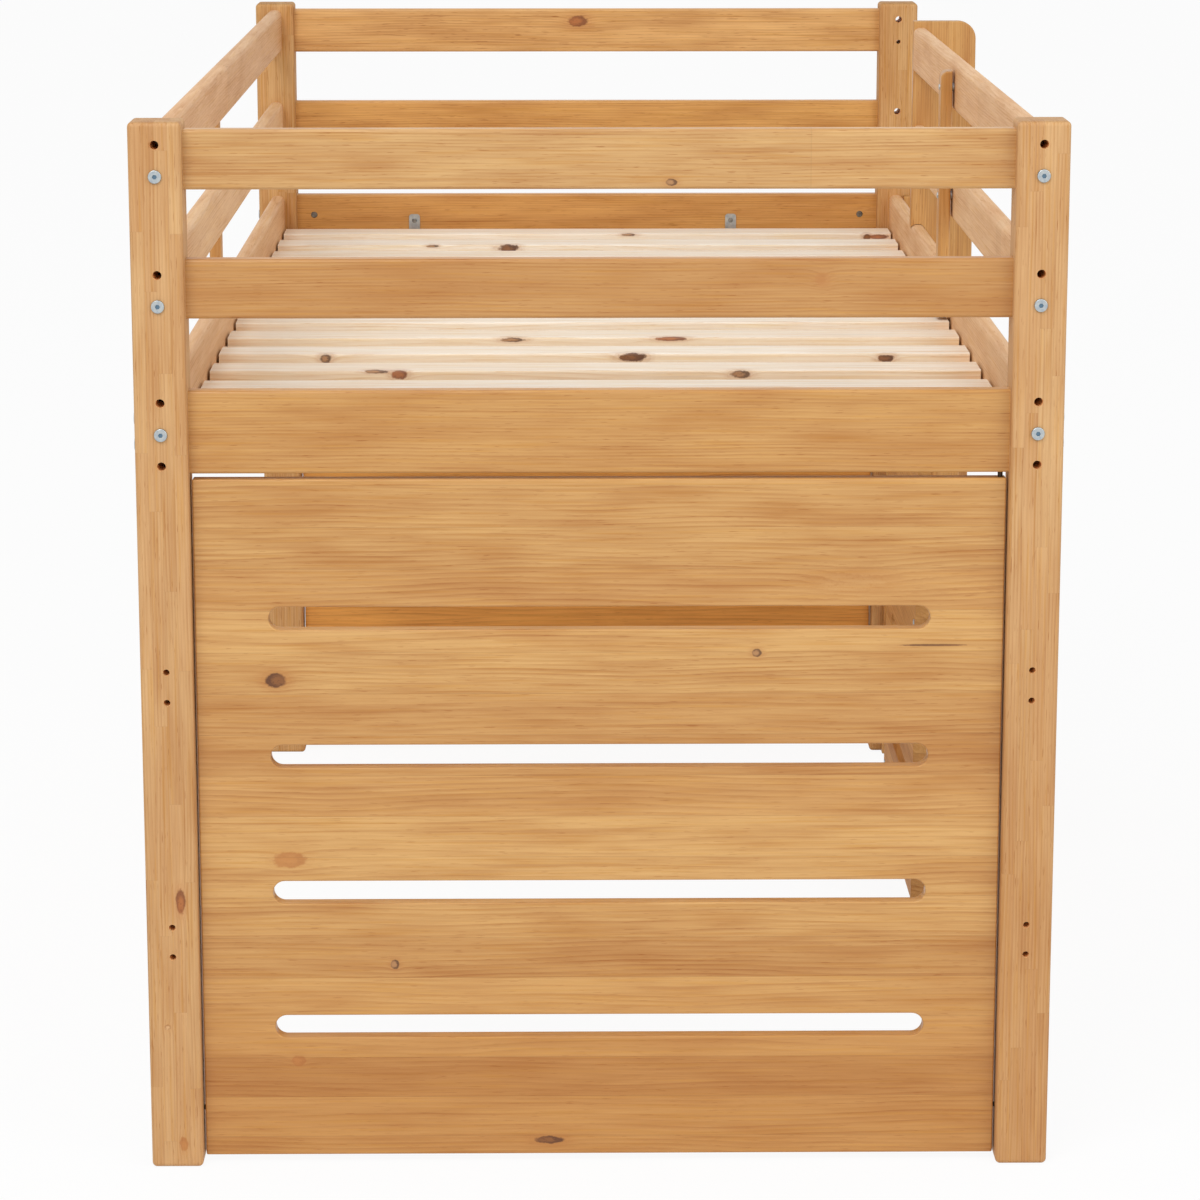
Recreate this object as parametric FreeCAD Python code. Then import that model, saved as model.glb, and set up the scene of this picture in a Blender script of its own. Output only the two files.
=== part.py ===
import FreeCAD, Part
import math
import os

# A low loft bed in pine. X runs across the bed, Y along it with the near end at -Y, Z up from the floor.
# Lengths are millimetres. Pieces are drawn about the bed's own centre line and moved once at the end,
# so that the origin is the middle of the floor that the whole object covers, ladder included.

# Posts
post_width = 62.0
post_depth = 57.0
post_rise = 10.0
post_round = 6.0
inner_width = 964.0
bed_length = 1995.0

# Rails, from the floor up
rail_thickness = 22.0
end_rail_round = 4.0
side_rail_round = 9.0
main_rail_bottom = 855.0
main_rail_height = 99.0
middle_rail_gap = 85.0
upper_rail_gap = 81.0
guard_rail_height = 70.0

# Slotted panels at both ends and on the ladder side
panel_thickness = 20.0
panel_round = 2.0
panel_side_gap = 2.5
panel_floor_gap = 9.0
panel_top_gap = 7.0
slot_count = 4
slot_height = 28.0
slot_margin = 87.0
lowest_slot_rise = 164.0
highest_slot_drop = 168.0
slot_round = 2.0

# Slats and the ledgers that carry them
slat_count = 14
slat_width = 68.0
slat_thickness = 18.0
slat_round = 3.0
slat_drop = 54.0
slat_end_gap = 3.5
slat_start_gap = 15.0
slat_stop_gap = 9.0
ledger_width = 25.0
ledger_round = 2.0

# Ladder in the gap of the right guard
ladder_opening = 373.0
upright_thickness = 20.0
upright_width = 96.0
upright_round = 2.0
upright_corner_radius = 27.0
tread_count = 3
tread_thickness = 22.0
tread_inset = 3.0
tread_round = 3.0
notch_clearance = 0.9

# Legs under the right side rail and the panel between them
leg_size = 40.0
leg_round = 3.0
side_panel_length = 493.0

# Battens that tie the rails of a side together, inside the right guard and outside the left one
batten_thickness = 16.0
batten_width = 33.0
batten_round = 2.0
batten_corner_radius = 10.0
right_batten_top_drop = 12.0
left_batten_top_drop = 20.0
batten_bottom_rise = 12.0
batten_slat_gap = 5.0
batten_rail_gap = 3.5
right_batten_from_near_end = 911.0
left_batten_from_near_end = 974.0
washer_radius = 6.0

# Connector bolts with barrel nuts
bolt_radius = 3.0
bolt_clearance = 0.5
bolt_head_radius = 7.75
bolt_head_height = 2.5
bolt_head_round = 1.0
bolt_socket_width = 5.0
bolt_socket_depth = 1.6
bolt_past_nut = 8.0
nut_radius = 5.0
nut_length = 13.0
nut_clearance = 0.4
nut_slot_width = 1.6
nut_slot_depth = 1.8
nut_from_end = 28.0
guard_bolt_drop = 18.0
end_bolt_spacing = 31.0

# Spare holes in the posts
spare_hole_radius = 5.3
guard_spare_rise = 18.5
main_spare_offset = 37.5
shelf_hole_radius = 4.0
shelf_hole_depth = 35.0
lowest_shelf_hole = 267.0
shelf_hole_spacing = 37.0
shelf_pitch = 315.0
shelf_count = 2

# Wooden dowels and steel panel pins
dowel_radius = 4.0
dowel_length = 40.0
dowel_spacing = 36.0
pin_radius = 3.0
pin_seat = 14.0
pin_height = 67.0
pin_inset = 9.0

# Wood screws with domed heads
screw_radius = 2.0
screw_head_radius = 4.0
screw_head_height = 1.6
screw_head_round = 1.2
screw_length = 34.0
ledger_screw_count = 7
ledger_screw_end = 60.0
panel_screw_shares = (0.1, 0.5, 0.9)
tread_screw_shares = (0.27, 0.73)

# Angle brackets that carry the end slats on the end rails
bracket_width = 18.0
bracket_leg = 40.0
bracket_rise = 21.0
bracket_thickness = 2.0
bracket_round = 5.0
bracket_screw_length = 16.0
bracket_shares = (-0.298, 0.248)

# Dowels, pins and screws all have this much room in their holes
fit_clearance = 0.1

# Every cut reaches this far past the face that it opens
overrun = 2.0

# An edge counts as straight along a direction when it strays from it by less than this share
straight_share = 0.001

# Sides and ends of the bed, as signs of X and Y
left = -1
right = 1
near = -1
far = 1

Vector = FreeCAD.Vector
along_x = Vector(1, 0, 0)
along_y = Vector(0, 1, 0)
along_z = Vector(0, 0, 1)

# Places across and along the bed
half_inner = inner_width / 2
post_outer = half_inner + post_width
post_middle = half_inner + post_width / 2
half_length = bed_length / 2
post_face = half_length - post_depth
end_middle = half_length - post_depth / 2
end_rail_face = end_middle - rail_thickness / 2
rail_inner = post_middle - rail_thickness / 2
rail_outer = post_middle + rail_thickness / 2
panel_length = inner_width - panel_side_gap - panel_side_gap
pin_place = half_inner - pin_inset
upright_back = post_face - ladder_opening
upright_front = upright_back - upright_thickness
stile_front = post_face - upright_thickness
ladder_outer = rail_inner + upright_width
leg_inner = post_middle - leg_size / 2
leg_outer = post_middle + leg_size / 2
side_panel_near = upright_front - side_panel_length
side_panel_face = leg_inner - panel_thickness
centre_leg_middle = side_panel_near + leg_size / 2
ladder_leg_middle = upright_front - leg_size / 2
leg_middles = (centre_leg_middle, ladder_leg_middle)
right_batten_near = right_batten_from_near_end - half_length
right_batten_middle = right_batten_near + batten_width / 2
right_batten_face = rail_inner - batten_rail_gap - batten_thickness
left_batten_near = left_batten_from_near_end - half_length
left_batten_middle = left_batten_near + batten_width / 2
left_batten_face = -rail_outer - batten_thickness
bracket_places = [share * inner_width for share in bracket_shares]
tread_screw_places = [post_outer + share * (ladder_outer - post_outer) for share in tread_screw_shares]

# Heights
main_rail_middle = main_rail_bottom + main_rail_height / 2
main_rail_top = main_rail_bottom + main_rail_height
middle_rail_bottom = main_rail_top + middle_rail_gap
middle_rail_middle = middle_rail_bottom + guard_rail_height / 2
upper_rail_bottom = middle_rail_bottom + guard_rail_height + upper_rail_gap
upper_rail_middle = upper_rail_bottom + guard_rail_height / 2
upper_rail_top = upper_rail_bottom + guard_rail_height
post_height = upper_rail_top + post_rise
guard_middles = (upper_rail_middle, middle_rail_middle)
guard_bolt_heights = [middle - guard_bolt_drop for middle in guard_middles]
main_spare_heights = (main_rail_middle - main_spare_offset, main_rail_middle + main_spare_offset)
end_bolt_heights = (main_rail_middle - end_bolt_spacing / 2, main_rail_middle + end_bolt_spacing / 2)
slat_top = main_rail_top - slat_drop
slat_bottom = slat_top - slat_thickness
ledger_middle = (main_rail_bottom + slat_bottom) / 2
panel_top = main_rail_bottom - panel_top_gap
panel_height = panel_top - panel_floor_gap
lowest_slot_middle = panel_floor_gap + lowest_slot_rise
slot_pitch = (panel_height - lowest_slot_rise - highest_slot_drop) / (slot_count - 1)
tread_rise = main_rail_top / (tread_count + 1)
tread_tops = [tread_rise * (step + 1) for step in range(tread_count)]
between_treads = [top - tread_rise / 2 for top in tread_tops]
upright_bolt_heights = between_treads[1:]
panel_screw_heights = [panel_floor_gap + share * panel_height for share in panel_screw_shares]
right_batten_top = upper_rail_top - right_batten_top_drop
left_batten_top = upper_rail_top - left_batten_top_drop
right_batten_screw_heights = guard_middles + ((slat_top + main_rail_top) / 2,)
left_batten_screw_heights = guard_middles + (main_rail_middle,)
bracket_screw_height = slat_top + bracket_rise / 2

# Runs and hole sizes
slat_run = post_face + post_face - slat_start_gap - slat_stop_gap - slat_width
slat_pitch = slat_run / (slat_count - 1)
ledger_screw_pitch = (post_face - ledger_screw_end) * 2 / (ledger_screw_count - 1)
first_ledger_screw = ledger_screw_end - post_face
ledger_screw_places = [first_ledger_screw + ledger_screw_pitch * turn for turn in range(ledger_screw_count)]
bolt_reach = nut_from_end + bolt_past_nut
leg_bolt_reach = leg_size / 2 + bolt_past_nut
dowel_seat = dowel_length / 2
bolt_hole_radius = bolt_radius + bolt_clearance
nut_hole_radius = nut_radius + nut_clearance
dowel_hole_radius = dowel_radius + fit_clearance
pin_hole_radius = pin_radius + fit_clearance
screw_hole_radius = screw_radius + fit_clearance


def block(corner, opposite):
    low = Vector(min(corner.x, opposite.x), min(corner.y, opposite.y), min(corner.z, opposite.z))
    high = Vector(max(corner.x, opposite.x), max(corner.y, opposite.y), max(corner.z, opposite.z))
    size = high - low
    return Part.makeBox(size.x, size.y, size.z, low)


def edges_along(shape, directions):
    found = []
    for edge in shape.Edges:
        run = edge.Vertexes[-1].Point - edge.Vertexes[0].Point
        strays = [run.cross(direction).Length for direction in directions]
        if min(strays) < straight_share * run.Length:
            found.append(edge)
    return found


def rounded_block(corner, opposite, radius, directions):
    solid = block(corner, opposite)
    return solid.makeFillet(radius, edges_along(solid, directions))


def board(corner, opposite, radius):
    return rounded_block(corner, opposite, radius, (along_x, along_y, along_z))


def cornered_board(low, high, corner_side, corner_radius, rim_round):
    blank = block(low, high)
    corner_x = high.x if corner_side == right else low.x
    corner_point = Vector(corner_x, (low.y + high.y) / 2, high.z)
    corner = [edge for edge in blank.Edges if (edge.CenterOfMass - corner_point).Length < rim_round]
    shaped = blank.makeFillet(corner_radius, corner)
    rims = [edge for edge in shaped.Edges if edge.BoundBox.YLength < straight_share * (high.y - low.y)]
    return shaped.makeFillet(rim_round, rims)


def rod(start, direction, radius, length):
    return Part.makeCylinder(radius, length, start, direction)


def hole(mouth, direction, radius, depth):
    return rod(mouth - direction * overrun, direction, radius, overrun + depth)


def through_hole(mouth, direction, radius, depth):
    return hole(mouth, direction, radius, depth + overrun)


def cut_all(solid, tools):
    return solid.cut(tools).Solids[0]


def group(solids):
    return Part.makeCompound(solids)


# Fasteners

def domed_head(seat, direction, radius, height, rim_round):
    crown = seat - direction * height
    disc = rod(crown, direction, radius, height)
    rim = [edge for edge in disc.Edges if (edge.CenterOfMass - crown).Length < straight_share * radius]
    return disc.makeFillet(rim_round, rim)


def hex_socket(seat, direction):
    across = direction.cross(along_z)
    mouth = seat - direction * (bolt_head_height + overrun)
    corner_radius = bolt_socket_width / math.sqrt(3)
    corners = []
    for turn in range(7):
        angle = math.tau * turn / 6
        corners.append(mouth + (across * math.cos(angle) + along_z * math.sin(angle)) * corner_radius)
    outline = Part.Face(Part.makePolygon(corners))
    return outline.extrude(direction * (overrun + bolt_socket_depth))


def bolt(seat, direction, length):
    head = domed_head(seat, direction, bolt_head_radius, bolt_head_height, bolt_head_round)
    whole = head.fuse(rod(seat, direction, bolt_radius, length)).removeSplitter()
    return cut_all(whole, [hex_socket(seat, direction)])


def driver_slot(mouth, inward, bolt_direction):
    across = inward.cross(bolt_direction)
    half_slot = across * (nut_slot_width / 2) + bolt_direction * (nut_radius + overrun)
    return block(mouth - half_slot - inward * overrun, mouth + half_slot + inward * nut_slot_depth)


def barrel_nut(middle, axis, bolt_direction):
    mouth = middle - axis * (nut_length / 2)
    barrel = rod(mouth, axis, nut_radius, nut_length)
    bore = through_hole(middle - bolt_direction * nut_radius, bolt_direction,
                        bolt_radius + fit_clearance, nut_radius + nut_radius)
    return cut_all(barrel, [bore, driver_slot(mouth, axis, bolt_direction)])


def nut_hole(face_point, inward, half_wall):
    return hole(face_point, inward, nut_hole_radius, half_wall + nut_length / 2)


def screw(seat, direction, length):
    head = domed_head(seat, direction, screw_head_radius, screw_head_height, screw_head_round)
    return head.fuse(rod(seat, direction, screw_radius, length)).removeSplitter().Solids[0]


def dowel(middle, direction):
    return rod(middle - direction * dowel_seat, direction, dowel_radius, dowel_length)


# Posts

def spare_holes(end, side):
    inward = along_y * -end
    heights = [middle + guard_spare_rise for middle in guard_middles]
    heights.extend(main_spare_heights)
    mouths = [Vector(side * post_middle, end * half_length, height) for height in heights]
    return [through_hole(mouth, inward, spare_hole_radius, post_depth) for mouth in mouths]


def shelf_holes(end, side):
    inward = along_y * -end
    holes = []
    for shelf in range(shelf_count):
        for place in range(2):
            height = lowest_shelf_hole + shelf_pitch * shelf + shelf_hole_spacing * place
            mouth = Vector(side * post_middle, end * half_length, height)
            holes.append(hole(mouth, inward, shelf_hole_radius, shelf_hole_depth))
    return holes


def side_rail_bolt_holes(end, side):
    inward = along_y * -end
    heights = guard_bolt_heights + [main_rail_middle]
    mouths = [Vector(side * post_middle, end * half_length, height) for height in heights]
    return [through_hole(mouth, inward, bolt_hole_radius, post_depth) for mouth in mouths]


def dowel_heights(middle):
    return (middle - dowel_spacing / 2, middle + dowel_spacing / 2)


def end_joint_holes(end, side):
    outward = along_x * side
    holes = []
    for middle in guard_middles:
        for height in dowel_heights(middle):
            mouth = Vector(side * half_inner, end * end_middle, height)
            holes.append(hole(mouth, outward, dowel_hole_radius, dowel_seat))
    for height in end_bolt_heights:
        mouth = Vector(side * half_inner, end * end_middle, height)
        holes.append(through_hole(mouth, outward, bolt_hole_radius, post_width))
    pin_mouth = Vector(side * half_inner, end * end_middle, pin_height)
    holes.append(hole(pin_mouth, outward, pin_hole_radius, pin_seat))
    return holes


def stile_screw_holes():
    mouths = [Vector(post_middle, post_face, height) for height in between_treads]
    return [hole(mouth, along_y, screw_hole_radius, screw_length - upright_thickness) for mouth in mouths]


def post(end, side):
    inner_corner = Vector(side * half_inner, end * post_face, 0)
    outer_corner = Vector(side * post_outer, end * half_length, post_height)
    solid = board(inner_corner, outer_corner, post_round)
    holes = spare_holes(end, side) + shelf_holes(end, side)
    holes += side_rail_bolt_holes(end, side) + end_joint_holes(end, side)
    if end == far and side == right:
        holes += stile_screw_holes()
    return cut_all(solid, holes)


# Rails across the ends

def end_rail_blank(end, bottom, height):
    low = Vector(-half_inner, end * end_middle - rail_thickness / 2, bottom)
    high = Vector(half_inner, end * end_middle + rail_thickness / 2, bottom + height)
    return rounded_block(low, high, end_rail_round, (along_x,))


def end_guard_rail(end, middle):
    solid = end_rail_blank(end, middle - guard_rail_height / 2, guard_rail_height)
    holes = []
    for side in (left, right):
        for height in dowel_heights(middle):
            mouth = Vector(side * half_inner, end * end_middle, height)
            holes.append(hole(mouth, along_x * -side, dowel_hole_radius, dowel_seat))
    return cut_all(solid, holes)


def end_main_rail(end):
    solid = end_rail_blank(end, main_rail_bottom, main_rail_height)
    outward = along_y * end
    pin_mouth = Vector(pin_place, end * end_middle, main_rail_bottom)
    holes = [hole(pin_mouth, along_z, pin_hole_radius, pin_seat)]
    for side in (left, right):
        for height in end_bolt_heights:
            mouth = Vector(side * half_inner, end * end_middle, height)
            nut_mouth = Vector(side * (half_inner - nut_from_end), end * end_rail_face, height)
            holes.append(hole(mouth, along_x * -side, bolt_hole_radius, bolt_reach))
            holes.append(nut_hole(nut_mouth, outward, rail_thickness / 2))
    for place in bracket_places:
        mouth = Vector(place, end * end_rail_face, bracket_screw_height)
        holes.append(hole(mouth, outward, screw_hole_radius, bracket_screw_length - bracket_thickness))
    return cut_all(solid, holes)


def end_rail_bolts():
    bolts = []
    for end in (near, far):
        for side in (left, right):
            for height in end_bolt_heights:
                seat = Vector(side * post_outer, end * end_middle, height)
                bolts.append(bolt(seat, along_x * -side, post_width + bolt_reach))
    return group(bolts)


def end_rail_nuts():
    nuts = []
    for end in (near, far):
        for side in (left, right):
            for height in end_bolt_heights:
                middle = Vector(side * (half_inner - nut_from_end), end * end_middle, height)
                nuts.append(barrel_nut(middle, along_y * end, along_x))
    return group(nuts)


def end_rail_dowels():
    dowels = []
    for end in (near, far):
        for side in (left, right):
            for middle in guard_middles:
                for height in dowel_heights(middle):
                    dowels.append(dowel(Vector(side * half_inner, end * end_middle, height), along_x))
    return group(dowels)


# Slotted panels

def slot(length, middle_height):
    end_radius = slot_height / 2
    half_straight = length / 2 - slot_margin - end_radius
    front = -panel_thickness / 2
    low = Vector(-half_straight, front - overrun, middle_height - end_radius)
    high = Vector(half_straight, overrun - front, middle_height + end_radius)
    cutter = block(low, high)
    for side in (left, right):
        mouth = Vector(side * half_straight, front, middle_height)
        cutter = cutter.fuse(through_hole(mouth, along_y, end_radius, panel_thickness))
    return cutter.removeSplitter()


def slot_rims(panel, slots):
    rims = []
    for cutter in slots:
        reach = cutter.BoundBox
        reach.enlarge(overrun)
        for edge in panel.Edges:
            flat = edge.BoundBox.YLength < straight_share * panel_thickness
            if flat and reach.isInside(edge.CenterOfMass):
                rims.append(edge)
    return rims


def slotted_panel(length):
    low = Vector(-length / 2, -panel_thickness / 2, panel_floor_gap)
    high = Vector(length / 2, panel_thickness / 2, panel_top)
    heights = [lowest_slot_middle + slot_pitch * place for place in range(slot_count)]
    slots = [slot(length, height) for height in heights]
    pierced = cut_all(board(low, high, panel_round), slots)
    return pierced.makeFillet(slot_round, slot_rims(pierced, slots))


def end_panel(end):
    panel = slotted_panel(panel_length)
    panel.translate(Vector(0, end * end_middle, 0))
    top_mouth = Vector(pin_place, end * end_middle, panel_top)
    holes = [hole(top_mouth, along_z * -1, pin_hole_radius, pin_seat)]
    for side in (left, right):
        mouth = Vector(side * panel_length / 2, end * end_middle, pin_height)
        holes.append(hole(mouth, along_x * -side, pin_hole_radius, pin_seat))
    return cut_all(panel, holes)


def panel_pins():
    pins = []
    for end in (near, far):
        foot = Vector(pin_place, end * end_middle, panel_top - pin_seat)
        pins.append(rod(foot, along_z, pin_radius, pin_seat + panel_top_gap + pin_seat))
        for side in (left, right):
            inner_end = Vector(side * (panel_length / 2 - pin_seat), end * end_middle, pin_height)
            pins.append(rod(inner_end, along_x * side, pin_radius, pin_seat + panel_side_gap + pin_seat))
    return group(pins)


def side_panel():
    panel = slotted_panel(side_panel_length)
    panel.rotate(Vector(0, 0, 0), along_z, 90)
    middle_along = side_panel_near + side_panel_length / 2
    panel.translate(Vector(side_panel_face + panel_thickness / 2, middle_along, 0))
    holes = []
    for middle in leg_middles:
        for height in panel_screw_heights:
            mouth = Vector(side_panel_face, middle, height)
            holes.append(through_hole(mouth, along_x, screw_hole_radius, panel_thickness))
    return cut_all(panel, holes)


def panel_screws():
    screws = []
    for middle in leg_middles:
        for height in panel_screw_heights:
            screws.append(screw(Vector(side_panel_face, middle, height), along_x, screw_length))
    return group(screws)


# Rails along the sides

def rail_end_holes(side, stop, inward, height):
    mouth = Vector(side * post_middle, stop, height)
    nut_mouth = Vector(side * rail_outer, stop, height) + inward * nut_from_end
    return [
        hole(mouth, inward, bolt_hole_radius, bolt_reach),
        nut_hole(nut_mouth, along_x * -side, rail_thickness / 2),
    ]


def side_rail_blank(side, bottom, height, far_stop):
    low = Vector(side * rail_inner, -post_face, bottom)
    high = Vector(side * rail_outer, far_stop, bottom + height)
    return rounded_block(low, high, side_rail_round, (along_y,))


def guard_far_stop(side):
    return upright_front if side == right else post_face


def side_guard_rail(side, middle):
    far_stop = guard_far_stop(side)
    height = middle - guard_bolt_drop
    solid = side_rail_blank(side, middle - guard_rail_height / 2, guard_rail_height, far_stop)
    holes = rail_end_holes(side, -post_face, along_y, height)
    holes += rail_end_holes(side, far_stop, along_y * -1, height)
    holes.append(batten_screw_hole(side, middle))
    return cut_all(solid, holes)


def side_main_rail(side):
    solid = side_rail_blank(side, main_rail_bottom, main_rail_height, post_face)
    holes = rail_end_holes(side, -post_face, along_y, main_rail_middle)
    holes += rail_end_holes(side, post_face, along_y * -1, main_rail_middle)
    for place in ledger_screw_places:
        mouth = Vector(side * rail_inner, place, ledger_middle)
        holes.append(hole(mouth, along_x * side, screw_hole_radius, screw_length - ledger_width))
    batten_heights = right_batten_screw_heights if side == right else left_batten_screw_heights
    holes.append(batten_screw_hole(side, batten_heights[-1]))
    if side == right:
        for middle in leg_middles:
            mouth = Vector(post_middle, middle, main_rail_bottom)
            holes.append(hole(mouth, along_z, dowel_hole_radius, dowel_seat))
    return cut_all(solid, holes)


def side_rail_joints():
    joints = []
    for side in (left, right):
        for height in guard_bolt_heights:
            joints.append((side, near, height))
            if side == left:
                joints.append((side, far, height))
        joints.append((side, near, main_rail_middle))
        joints.append((side, far, main_rail_middle))
    return joints


def side_rail_bolts():
    bolts = []
    for side, end, height in side_rail_joints():
        seat = Vector(side * post_middle, end * half_length, height)
        bolts.append(bolt(seat, along_y * -end, post_depth + bolt_reach))
    return group(bolts)


def side_rail_nuts():
    nuts = []
    for side, end, height in side_rail_joints():
        middle = Vector(side * post_middle, end * (post_face - nut_from_end), height)
        nuts.append(barrel_nut(middle, along_x * -side, along_y))
    return group(nuts)


# Slats, ledgers and end brackets

def slat_ledger(side):
    ledger_face = side * (rail_inner - ledger_width)
    low = Vector(ledger_face, -post_face, main_rail_bottom)
    high = Vector(side * rail_inner, post_face, slat_bottom)
    solid = rounded_block(low, high, ledger_round, (along_y,))
    mouths = [Vector(ledger_face, place, ledger_middle) for place in ledger_screw_places]
    holes = [through_hole(mouth, along_x * side, screw_hole_radius, ledger_width) for mouth in mouths]
    return cut_all(solid, holes)


def ledger_screws():
    screws = []
    for side in (left, right):
        for place in ledger_screw_places:
            seat = Vector(side * (rail_inner - ledger_width), place, ledger_middle)
            screws.append(screw(seat, along_x * side, screw_length))
    return group(screws)


def slat(number):
    front = slat_start_gap - post_face + slat_pitch * number
    half_span = rail_inner - slat_end_gap
    low = Vector(-half_span, front, slat_bottom)
    high = Vector(half_span, front + slat_width, slat_top)
    return rounded_block(low, high, slat_round, (along_x,))


def slat_bracket(end, place):
    half_width = bracket_width / 2
    foot = slat_bottom - bracket_thickness
    face = end * end_rail_face
    inward = -end
    plate = block(Vector(place - half_width, face, foot),
                  Vector(place + half_width, face + inward * bracket_thickness, slat_top + bracket_rise))
    corners = [edge for edge in edges_along(plate, (along_y,)) if edge.CenterOfMass.z > slat_top]
    plate = plate.makeFillet(bracket_round, corners)
    shelf = block(Vector(place - half_width, face, foot),
                  Vector(place + half_width, face + inward * bracket_leg, slat_bottom))
    whole = plate.fuse(shelf).removeSplitter()
    mouth = Vector(place, face, bracket_screw_height)
    return cut_all(whole, [through_hole(mouth, along_y * inward, screw_hole_radius, bracket_thickness)])


def slat_brackets():
    return group([slat_bracket(end, place) for end in (near, far) for place in bracket_places])


def bracket_screws():
    screws = []
    for end in (near, far):
        for place in bracket_places:
            seat = Vector(place, end * (end_rail_face - bracket_thickness), bracket_screw_height)
            screws.append(screw(seat, along_y * end, bracket_screw_length))
    return group(screws)


# Battens

def guard_batten(face, near_edge, bottom, top, screw_heights):
    low = Vector(face, near_edge, bottom)
    high = Vector(face + batten_thickness, near_edge + batten_width, top)
    solid = cornered_board(low, high, left, batten_corner_radius, batten_round)
    holes = []
    for height in screw_heights:
        mouth = Vector(face, near_edge + batten_width / 2, height)
        holes.append(through_hole(mouth, along_x, screw_hole_radius, batten_thickness))
    return cut_all(solid, holes)


def guard_batten_right():
    bottom = slat_top + batten_slat_gap
    heights = right_batten_screw_heights
    return guard_batten(right_batten_face, right_batten_near, bottom, right_batten_top, heights)


def guard_batten_left():
    bottom = main_rail_bottom + batten_bottom_rise
    heights = left_batten_screw_heights
    return guard_batten(left_batten_face, left_batten_near, bottom, left_batten_top, heights)


def batten_washers():
    washers = []
    for height in right_batten_screw_heights:
        start = Vector(rail_inner - batten_rail_gap, right_batten_middle, height)
        disc = rod(start, along_x, washer_radius, batten_rail_gap)
        washers.append(cut_all(disc, [through_hole(start, along_x, screw_hole_radius, batten_rail_gap)]))
    return group(washers)


def batten_screws():
    seats = [Vector(right_batten_face, right_batten_middle, height) for height in right_batten_screw_heights]
    seats += [Vector(left_batten_face, left_batten_middle, height) for height in left_batten_screw_heights]
    return group([screw(seat, along_x, screw_length) for seat in seats])


def batten_screw_hole(side, height):
    if side == right:
        mouth = Vector(rail_inner, right_batten_middle, height)
        return hole(mouth, along_x, screw_hole_radius, screw_length - batten_thickness - batten_rail_gap)
    mouth = Vector(-rail_outer, left_batten_middle, height)
    return hole(mouth, along_x, screw_hole_radius, screw_length - batten_thickness)


# Legs under the right side rail

def leg(middle):
    low = Vector(leg_inner, middle - leg_size / 2, 0)
    high = Vector(leg_outer, middle + leg_size / 2, main_rail_bottom)
    solid = rounded_block(low, high, leg_round, (along_z,))
    top = Vector(post_middle, middle, main_rail_bottom)
    holes = [hole(top, along_z * -1, dowel_hole_radius, dowel_seat)]
    for height in panel_screw_heights:
        mouth = Vector(leg_inner, middle, height)
        holes.append(hole(mouth, along_x, screw_hole_radius, screw_length - panel_thickness))
    return cut_all(solid, holes)


def ladder_leg():
    holes = []
    for height in upright_bolt_heights:
        mouth = Vector(post_middle, upright_front, height)
        nut_mouth = Vector(leg_outer, ladder_leg_middle, height)
        holes.append(hole(mouth, along_y * -1, bolt_hole_radius, leg_bolt_reach))
        holes.append(nut_hole(nut_mouth, along_x * -1, leg_size / 2))
    return cut_all(leg(ladder_leg_middle), holes)


def leg_dowels():
    return group([dowel(Vector(post_middle, middle, main_rail_bottom), along_z) for middle in leg_middles])


# Ladder

def rail_notch(front, back):
    low = Vector(rail_inner - notch_clearance, front - overrun, main_rail_bottom - notch_clearance)
    high = Vector(rail_outer + notch_clearance, back + overrun, main_rail_top + notch_clearance)
    return rounded_block(low, high, side_rail_round + notch_clearance, (along_y,))


def rail_step(front, back):
    low = Vector(rail_inner - overrun, front - overrun, main_rail_bottom - notch_clearance)
    high = Vector(rail_outer + notch_clearance, back + overrun, main_rail_top + overrun)
    return block(low, high)


def tread_screw_holes(mouth_face, direction, depth):
    holes = []
    for top in tread_tops:
        for place in tread_screw_places:
            mouth = Vector(place, mouth_face, top - tread_thickness / 2)
            holes.append(hole(mouth, direction, screw_hole_radius, depth))
    return holes


def ladder_upright():
    low = Vector(rail_inner, upright_front, 0)
    high = Vector(ladder_outer, upright_back, post_height)
    solid = cornered_board(low, high, right, upright_corner_radius, upright_round)
    holes = [rail_notch(upright_front, upright_back)]
    for height in guard_bolt_heights + upright_bolt_heights:
        mouth = Vector(post_middle, upright_back, height)
        holes.append(through_hole(mouth, along_y * -1, bolt_hole_radius, upright_thickness))
    holes += tread_screw_holes(upright_front, along_y, upright_thickness + overrun)
    return cut_all(solid, holes)


def ladder_far_stile():
    low = Vector(rail_inner, stile_front, 0)
    high = Vector(ladder_outer, post_face, main_rail_top)
    solid = board(low, high, upright_round)
    holes = [rail_step(stile_front, post_face)]
    holes += tread_screw_holes(post_face, along_y * -1, upright_thickness + overrun)
    for height in between_treads:
        mouth = Vector(post_middle, stile_front, height)
        holes.append(through_hole(mouth, along_y, screw_hole_radius, upright_thickness))
    return cut_all(solid, holes)


def ladder_tread(top):
    low = Vector(rail_inner + tread_inset, upright_back, top - tread_thickness)
    high = Vector(ladder_outer - tread_inset, stile_front, top)
    solid = rounded_block(low, high, tread_round, (along_y,))
    depth = screw_length - upright_thickness
    holes = tread_screw_holes(upright_back, along_y, depth)
    holes += tread_screw_holes(stile_front, along_y * -1, depth)
    return cut_all(solid, holes)


def ladder_screws():
    screws = []
    for top in tread_tops:
        for place in tread_screw_places:
            height = top - tread_thickness / 2
            screws.append(screw(Vector(place, upright_front, height), along_y, screw_length))
            screws.append(screw(Vector(place, post_face, height), along_y * -1, screw_length))
    for height in between_treads:
        screws.append(screw(Vector(post_middle, stile_front, height), along_y, screw_length))
    return group(screws)


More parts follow.
